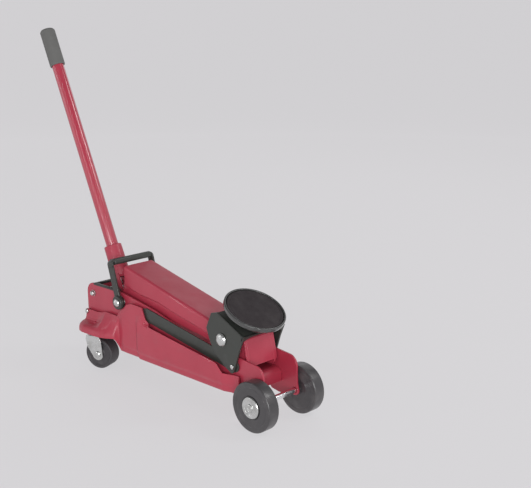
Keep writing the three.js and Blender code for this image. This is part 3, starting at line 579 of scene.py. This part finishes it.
def build_wheels():
    half = WHEEL_HALF
    tyre = [(4.4, -half + 1), (13, -half + 1), (17, -half), (27, -half), (27.8, -half + 0.5),
            (28.6, -half),
            (34, -half), (35, -half + 1.2), (35, half - 1.2), (34, half), (28.6, half), (27.8,
            half - 0.5),
            (27, half), (17, half), (15.6, half - 1.2), (4.4, half - 1.2)]
    cap = [(0, half - 0.8), (15, half - 0.8), (15, half + 0.8), (14.2, half + 1.7), (10.5, half + 2.0),
           (9.9, half + 1.5), (6.6, half + 1.5), (5.6, half + 2.1), (5.4, half + 3.2), (3.6,
           half + 3.9),
           (2.4, half + 3.2), (0, half + 3.0)]
    for side, sign in SIDES:
        hub = at(0, WHEEL_Y, WHEEL_Z)
        body = f"front_wheel_{side}"
        piece(f"front_wheel_{side}_look", [mirror(moved(lathe(tyre, 128, "y", 0.7), hub), sign)],
              wheel, body,
              [f"front_wheel_{side}"])
        piece(f"hub_cap_{side}_look", [mirror(moved(lathe(cap, 96, "y", 0.4), hub), sign)], zinc, body,
              [f"hub_cap_{side}"])
    reach = WHEEL_Y + half - 1.2
    axle = moved(rod(AXLE_RADIUS, -reach, reach, "y", 64), at(0, 0, WHEEL_Z))
    piece("front_axle_look", [axle], bright, "frame", ["front_axle"])


def build_caster(side, sign):
    post = at(CASTER[0], sign * CASTER[1], 0)
    stem = [(0, 48.7), (6, 48.7), (6, 50.4), (4, 50.6), (4, 71.2), (3.2, 72.6), (0, 73)]
    piece(f"caster_stem_{side}_look", [lathe(stem, 48)], red, "frame", [f"caster_stem_{side}"],
          post)
    race = [(4.4, 53.6), (12, 53.6), (13, 55.4), (13, 60.6), (11.6, 62.2), (7.2, 62.4), (7.2, 64.6),
            (4.4, 64.6)]
    piece(f"caster_race_{side}_look", [lathe(race, 64)], zinc, "frame",
          [f"caster_race_{side}"], post)
    turned = post @ Matrix.Rotation(-sign * CASTER_SWIVEL, 4, "Z")
    top = arc(0, 0, 14.4, 100, 260, 24) + [(13, -14.4), (13, 14.4)]
    crown = slab(top, 51, 53.2, "z", [(0, 0, 4.4)])
    leg = ([(-10, 53.2), (-11.5, 47), (-8, 34)] + arc(10, 24, 9.6, 200, 340, 24)
           + [(16.5, 46), (13, 53.2)])
    legs = [slab(leg, low, high, "y", [(10, 24, 3.3)]) for low, high in ((12.2, 14.4), (-14.4, -12.2))]
    body = f"caster_fork_{side}"
    piece(f"caster_fork_{side}_look", [crown, *legs], zinc, body, [f"caster_fork_{side}"],
          turned)
    half = 11
    disc = [(3.4, -half), (9, -half), (10.5, -half + 1.5), (18.5, -half + 1.5), (20, -half),
            (23, -half),
            (24, -half + 1), (24, half - 1), (23, half), (20, half), (18.5, half - 1.5),
            (10.5, half - 1.5), (9, half), (3.4, half)]
    hub = at(10, 0, 24)
    piece(f"caster_wheel_{side}_look", [moved(lathe(disc, 96, "y", 0.8), hub)], caster_black,
          f"caster_wheel_{side}", [f"caster_wheel_{side}"], turned)
    axle = [(0, 17), (3.4, 16.8), (4.8, 15.8), (5, 14.7), (3, 14.7)]
    piece(f"caster_axle_{side}_look", [moved(double_headed(axle, 3), hub)], zinc, body,
          [f"caster_axle_{side}"], turned)


# ---- Lift arm ------------------------------------------------------------------------

ARM_SHEET = 3
ARM_TOP = [(-297, 170.4), (-110, 127), (-96, 122.6), (-66, 118.2), (-50, 117), (-37, 113.5)]
ARM_SHOULDER = [(-297, 141), (-260, 133.5), (-220, 130), (-183, 121.5), (-133, 112), (-96, 104),
                (-80, 92), (-66, 76), (-50, 71.5), (-31, 71.5)]


def arm_section(x):
    top, low = along(ARM_TOP, x), along(ARM_SHOULDER, x)
    half = [(22.2, low - 4.4), (25.4, low - 3.4), (28.4, low), (28.4, top - 4), (27.2, top - 1.2),
            (24.4, top)]
    return [(-y, z) for y, z in half] + [(y, z) for y, z in reversed(half)]


def build_arm():
    stations = [-297, -290, -260, -220, -183, -133, -110, -96, -80, -66, -50, -38]
    cap = sheet(arm_section, stations, 2.5, 1.0, ARM_SHEET, -1)
    cheek = ([(-296, 163), (-304, 140), (-309.5, 118)] + arc(*LUG, 9.5, 175, 345, 20)
             + [(-291, 92), (-270, 101), (-200, 106), (-120, 97), (-78, 86), (-62, 69.5), (-36, 68.5)]
             + arc(-36, 75.5, 7, -60, 0, 8)
             + [(-37, 112), (-50, 115.4), (-66, 116.8), (-96, 121), (-110, 125.2)])
    holes = [(*PIVOT, 8.4), (*LUG, 5.3), (*SADDLE_BOLT, 5.2)]
    cheeks = [slab(cheek, 21.5, 24.5, holes=holes), slab(cheek, -24.5, -21.5, holes=holes)]
    nose = slab([(-40.4, 112), (-37.4, 112.6), (-29.4, 76), (-32.4, 75)], -28.4, 28.4, soft=0.8)
    boss = moved(tube(5.2, 8.2, 24, 36.6, "y"), at(SADDLE_BOLT[0], 0, SADDLE_BOLT[1]))
    piece("lift_arm_look", [cap, *cheeks, nose, boss, mirror(boss, -1)], red, "lift_arm",
          ["lift_arm"])
    piece("crosshead_pin_look", [moved(rod(5, -27.5, 27.5, "y"), at(LUG[0], 0, LUG[1]))], steel,
          "lift_arm",
          ["crosshead_pin"])
    head = [(0, 45.6), (4.5, 45.2), (7.6, 43.8), (9.2, 41.9), (9.5, 40.5), (5, 40.5)]
    piece("saddle_bolt_look", [moved(double_headed(head, 4.8, 72), at(SADDLE_BOLT[0], 0,
          SADDLE_BOLT[1]))], zinc,
          "lift_arm", ["saddle_bolt"])


# ---- Saddle and links ----------------------------------------------------------------


def build_saddle():
    cheek = ([(-23, 30), (-33, 21), (-32.5, -4), (-20, -16), (-6, -26), (22, -31.5)]
             + arc(33.5, -27, 5, -110, 0, 12) + [(37.5, -16), (34, 10), (33, 30)])
    holes = [(0, 0, 5.2), (*RIVET, 2.8)]
    parts = [slab(cheek, low, low + 3.2, holes=holes, soft=0.6) for low in (37, -40.2)]
    parts.append(slab([(-23, -40.2), (33, -40.2), (33, 40.2), (-23, 40.2)], 27, 30, "z",
                      [(SADDLE_OFFSET, 0, 10.5)], soft=0.6))
    lip = [(-40.2, 30), (-40.2, 20.5), (-36, 20.5), (-31, 24), (-20, 26), (20, 26), (31, 24),
           (36, 20.5),
           (40.2, 20.5), (40.2, 30)]
    parts.append(slab(lip, 30, 33, "x", soft=0.6, corner=2))
    piece("saddle_bracket_look", parts, black, "saddle_bracket", ["saddle_bracket"],
          saddle_frame)
    cup = [(0, 27.2), (10, 27.2), (10, 30.3), (31, 30.3), (33.5, 33.5), (34.5, 37), (39, 38.8),
           (43.9, 41.5),
           (44.5, 43), (44.5, 47), (43.4, 48), (42.4, 48), (41.6, 47), (41.4, 43.5), (0, 43.5)]
    centre = saddle_frame @ at(SADDLE_OFFSET, 0, 0)
    piece("saddle_cup_look", [lathe(cup, 128, "z", 0.7)], rim_black, "saddle",
          ["saddle_cup"], centre)
    pad = [(0, 43.8), (41, 43.8), (41, 45.9), (40, 46.8), (37.4, 46.8), (36.8, 46.4), (36.2, 46.8),
           (0, 46.8)]
    piece("saddle_pad_look", [lathe(pad, 96, "z", 0.3)], pad_rubber, "saddle",
          ["saddle_pad"], centre)
    rivet = [(0, 34.5), (2.5, 34.5), (2.5, 40.5), (3.4, 40.5), (3.1, 41.5), (1.6, 42), (0, 42.1)]
    for side, sign in SIDES:
        piece(f"link_rivet_{side}_look", [mirror(moved(lathe(rivet, 40, "y", 0.3), at(RIVET[0], 0,
              RIVET[1])), sign)],
              zinc, "saddle_bracket", [f"link_rivet_{side}"], saddle_frame)


def build_links():
    end = saddle_frame @ Vector((RIVET[0], 0, RIVET[1]))
    front = (end.x, end.z)
    outline = (arc(*LINK_REAR, 6.5, 110, 260, 14) + [(-262, 97.5), (-224, 96), (-63, 69.5)]
               + arc(*front, 8.6, -110, 60, 20) + [(-99, 95), (-236, 118.2), (-246, 116)])
    bar = slab(outline, 34.4, 36.7, holes=[(*LINK_REAR, 3.4), (*front, 4.1)], soft=0.5)
    for side, sign in SIDES:
        piece(f"link_bar_{side}_look", [mirror(bar, sign)], black, f"link_{side}",
              [f"link_bar_{side}"])


def build_carry_handle():
    leg = arc(0, 0, 11, 125, 415, 30) + [(6.2, 14), (6.2, 56), (-6.2, 56), (-6.2, 14)]
    eye = [(0, 0, 7.6)]
    legs = [slab(leg, 37.1, 40.6, holes=eye, soft=0.8), slab(leg, -40.6, -37.1, holes=eye, soft=0.8)]
    strap = (arc(33.6, 58.8, 7, 0, 90) + arc(-33.6, 58.8, 7, 90, 180) + [(-40.6, 54), (-37.1, 54)]
             + arc(-33.6, 58.8, 3.5, 180, 90) + arc(33.6, 58.8, 3.5, 90, 0) + [(37.1, 54), (40.6, 54)])
    bow = slab(strap, -6.2, 6.2, "x", soft=0.8)
    bar = (arc(4, 63.4, 3.4, 0, 90) + arc(-4, 63.4, 3.4, 90, 180) + arc(-4, 60.4, 3.4, 180, 270)
           + arc(4, 60.4, 3.4, 270, 360))
    grip = slab(bar, -35, 35, "y", soft=1.0)
    piece("carry_handle_look", [*legs, bow, grip], black, "carry_handle",
          ["carry_handle"], carry_frame)


# ---- Hydraulic unit ------------------------------------------------------------------


def build_hydraulics():
    section = [(-26, 62.5), (26, 62.5), (26, 91), (11.5, 91), (11.5, 98), (-11.5, 98), (-11.5, 91),
               (-26, 91)]
    lug = ([(-382, 66), (-347, 66), (-325, 113)] + arc(*HANDLE_PIVOT, 9, -20, 160, 20)
           + [(-350, 99), (-382, 99)])
    hole = [(*HANDLE_PIVOT, 5.3)]
    casting = [slab(section, -387.4, -346, "x", soft=1.2, corner=2.5),
               slab(lug, 25.5, 29.5, holes=hole, soft=0.9),
               slab(lug, -29.5, -25.5, holes=hole, soft=0.9)]
    casting.append(moved(tube(4.9, 7.6, 90.5, 93.4, "z"), at(*PUMP, 0)))
    piece("pump_block_look", casting, iron, "frame", ["pump_block"])
    tank = (arc(8.5, 70, 6, -90, 0) + arc(8.5, 92, 6, 0, 90) + arc(-8.5, 92, 6, 90, 180)
            + arc(-8.5, 70, 6, 180, 270))
    piece("oil_reservoir_look", [slab(tank, -345.7, -325, "x", [(0, RAM_Z, 12.3)], soft=1.2)], iron,
          "frame",
          ["oil_reservoir"])
    ram_line = at(0, 0, RAM_Z)
    piece("ram_cylinder_look", [moved(tube(9.4, 12, -345.7, -325, "x"), ram_line)], steel, "frame",
          ["ram_cylinder"])
    gland = [(8.3, -324.7), (13.6, -324.7), (13.6, -321.6), (12.4, -320.4), (8.3, -320.4)]
    piece("ram_gland_look", [moved(lathe(gland, 64, "x"), ram_line)], steel, "frame",
          ["ram_gland"])
    ram = [(0, -357.5), (9.1, -357.5), (9.1, -352.5), (8, -352.5), (8, -319), (0, -319)]
    tongue = [(-320, -7), (-316, -9.5), (-307, -9.5), (-301.5, -5), (-301.5, 5), (-307, 9.5),
              (-316, 9.5), (-320, 7)]
    eye = slab(tongue, -6, 6, holes=[(LUG[0], 0, 6.5)], soft=0.8)
    piece("ram_look", [lathe(ram, 64, "x"), eye], chrome, "ram", ["ram"], ram_line)
    spring = moved(coil(2.1, 0.7, 9, -345, -317), Matrix.Rotation(math.pi / 2, 4, "Y"))
    for side, sign in SIDES:
        piece(f"return_spring_{side}_look", [spring], steel, "frame",
              [f"return_spring_{side}"],
              at(0, sign * 18, RAM_Z))
    valve = [(0, -381), (3.6, -381), (3.6, -388.4), (6, -388.4), (6, -394), (5, -395), (2.4, -395),
             (2.4, -392),
             (0, -392)]
    piece("release_valve_look", [lathe(valve, 48, "x", 0.3)], zinc, "release_valve",
          ["release_valve"],
          at(0, 0, 70))
    plug = [(0, 93), (4, 93), (4, 98.3), (6, 98.3), (6, 100.6), (5, 101.4), (0, 101.4)]
    piece("oil_filler_plug_look", [lathe(plug, 48)], plug_rubber, "frame",
          ["oil_filler_plug"], at(-368, 0, 0))
    piece("handle_pivot_pin_look", [rod(5, -30.5, 30.5, "y")], steel, "frame",
          ["handle_pivot_pin"],
          at(HANDLE_PIVOT[0], 0, HANDLE_PIVOT[1]))
    plunger = [(0, 84), (4.5, 84), (4.5, 117.5), (7.2, 117.5), (7.2, 119.5), (4.5, 119.5),
               (4.5, 121.2), (0, 121.6)]
    piece("pump_plunger_look", [lathe(plunger, 48)], chrome, "pump_plunger",
          ["pump_plunger"], at(*PUMP, 0))
    low, high = 94.4, 116.6
    piece("pump_spring_look", [coil(5.6, 0.7, 4, low, high)], steel, "frame", ["pump_spring"],
          at(*PUMP, 0), stretch=("pump_plunger", (*PUMP, low), (*PUMP, high)))


def build_handle():
    barrel = [(0, 20), (12.4, 20), (14.4, 24), (13.8, 70.8), (12.9, 72), (10, 72), (10, 23.5),
              (0, 23.5)]
    eye = [(0, 0, 5.3)]
    cheek = arc(0, 0, 9, 180, 360, 20) + [(9.6, 26), (-9.6, 26)]
    finger = [(-4, -8), (-8, -6)] + arc(*ROLLER, 5, 215, 90) + [(-9, 26), (-4, 26)]
    parts = [lathe(barrel, 72), slab(cheek, 10, 13.4, holes=eye), slab(cheek, -13.4, -10, holes=eye),
             slab(finger, 10, 13.4, holes=[(*ROLLER, 2.7)])]
    piece("handle_socket_look", parts, red, "handle", ["handle_socket"], handle_frame)
    spot = handle_frame @ at(ROLLER[0], 0, ROLLER[1])
    pin = [(0, 8.5), (4, 8.5), (4, 9.7), (2.4, 9.7), (2.4, 24.2), (0, 24.2)]
    piece("roller_pin_look", [lathe(pin, 32, "y", 0.3)], zinc, "handle", ["roller_pin"], spot)
    piece("pump_roller_look", [tube(2.7, 5.5, 15.4, 22.6, "y", 48)], steel, "pump_roller",
          ["pump_roller"],
          spot)
    piece("handle_tube_look", [tube(7.6, 9.6, 24, 431, "z", 72)], tube_red, "handle",
          ["handle_tube"],
          handle_frame)
    grip = [(9.9, 375), (11.4, 375), (12, 376.5), (12, 433.4), (10.2, 436), (0, 436), (0, 431.4),
            (9.9, 431.4)]
    piece("handle_grip_look", [lathe(grip, 72, "z", 0.8)], grip_rubber, "handle",
          ["handle_grip"],
          handle_frame)


build_frame()
build_wheels()
for side, sign in SIDES:
    build_caster(side, sign)
build_arm()
build_saddle()
build_links()
build_carry_handle()
build_hydraulics()
build_handle()

# ---- Studio --------------------------------------------------------------------------


CAMERA_AHEAD_OF_AXLE, CAMERA_Y, CAMERA_HEIGHT = 0.8286, -0.8663, 0.5293
CAMERA_FORWARD = (-0.68259, 0.69406, -0.22881)
CAMERA_UP = (-0.15501, 0.16846, 0.97344)
SENSOR_MM, LENS_MM = 36, 64.0


def place_camera():
    data = bpy.data.cameras.new("camera")
    data.sensor_width = SENSOR_MM
    data.lens = LENS_MM
    data.clip_start = 0.05
    cam = bpy.data.objects.new("camera", data)
    bpy.context.scene.collection.objects.link(cam)
    back = -Vector(CAMERA_FORWARD).normalized()
    right = Vector(CAMERA_UP).cross(back).normalized()
    up = back.cross(right)
    turn = Matrix((right, up, back)).transposed().to_4x4()
    cam.matrix_world = at(AXLE_X + CAMERA_AHEAD_OF_AXLE, CAMERA_Y, CAMERA_HEIGHT) @ turn
    bpy.context.scene.camera = cam


def area_light(name, place, aim, size, power, colour=(1, 1, 1)):
    data = bpy.data.lights.new(name, "AREA")
    data.shape = "RECTANGLE"
    data.size, data.size_y = size
    data.energy = power
    data.color = colour
    light = bpy.data.objects.new(name, data)
    bpy.context.scene.collection.objects.link(light)
    light.location = place
    light.rotation_euler = (Vector(aim) - Vector(place)).to_track_quat("-Z", "Y").to_euler()


def build_stage():
    """A floor that curves up into a low wall far away on every side."""
    flat, bend, height, sink, steps = 3.2, 1.6, 2.6, 0.0003, 96
    profile = [(0, 0), (flat, 0)]
    for i in range(1, 16):
        a = math.radians(6 * i)
        profile.append((flat + bend * math.sin(a), bend - bend * math.cos(a)))
    profile.append((flat + bend, height))
    verts = [(0, 0, 0)]
    for r, z in profile[1:]:
        for i in range(steps):
            a = 2 * math.pi * i / steps
            verts.append((r * math.cos(a), r * math.sin(a), z - sink))
    faces = [(0, 1 + i, 1 + (i + 1) % steps) for i in range(steps)]
    for k in range(len(profile) - 2):
        a, b = 1 + k * steps, 1 + (k + 1) * steps
        faces += [(a + i, b + i, b + (i + 1) % steps, a + (i + 1) % steps) for i in range(steps)]
    mesh = bpy.data.meshes.new("floor")
    mesh.from_pydata(verts, [], faces)
    mesh.shade_smooth()
    floor = bpy.data.objects.new("floor", mesh)
    bpy.context.scene.collection.objects.link(floor)
    look = bpy.data.materials.new("floor")
    look.use_nodes = True
    shader = look.node_tree.nodes["Principled BSDF"]
    shader.inputs["Base Color"].default_value = (0.13, 0.128, 0.132, 1)
    shader.inputs["Roughness"].default_value = 0.85
    shader.inputs["Emission Color"].default_value = (0.62, 0.61, 0.625, 1)
    shader.inputs["Emission Strength"].default_value = 0.915
    mesh.materials.append(look)


place_camera()
build_stage()
area_light("key", (1.9, -1.7, 0.6), (0, 0, 0.1), (1.2, 0.8), 28)
area_light("fill", (-1.4, -1.9, 0.6), (0, 0, 0.15), (1.5, 0.9), 1.5)
area_light("strip", (0.5, -2.1, 1.0), (-0.1, 0, 0.3), (0.06, 1.6), 4)
area_light("strip_left", (-1.3, -1.7, 1.2), (-0.25, 0, 0.35), (0.05, 1.4), 2)
area_light("strip_right", (1.9, -0.2, 1.3), (-0.25, 0, 0.35), (0.06, 1.4), 3)
area_light("rim", (1.4, 1.2, 1.7), (0.2, 0, 0.05), (0.5, 0.9), 10)
area_light("back", (-0.8, 1.9, 1.5), (0, 0, 0.15), (1.6, 1.2), 4)
area_light("top", (0.2, 0.0, 2.3), (0, 0, 0), (1.4, 1.4), 1.5)
world = bpy.data.worlds.new("studio")
world.use_nodes = True
world.node_tree.nodes["Background"].inputs["Color"].default_value = (0.95, 0.95, 0.97, 1)
world.node_tree.nodes["Background"].inputs["Strength"].default_value = 0.2
bpy.context.scene.world = world
bpy.context.scene.view_settings.view_transform = "Standard"
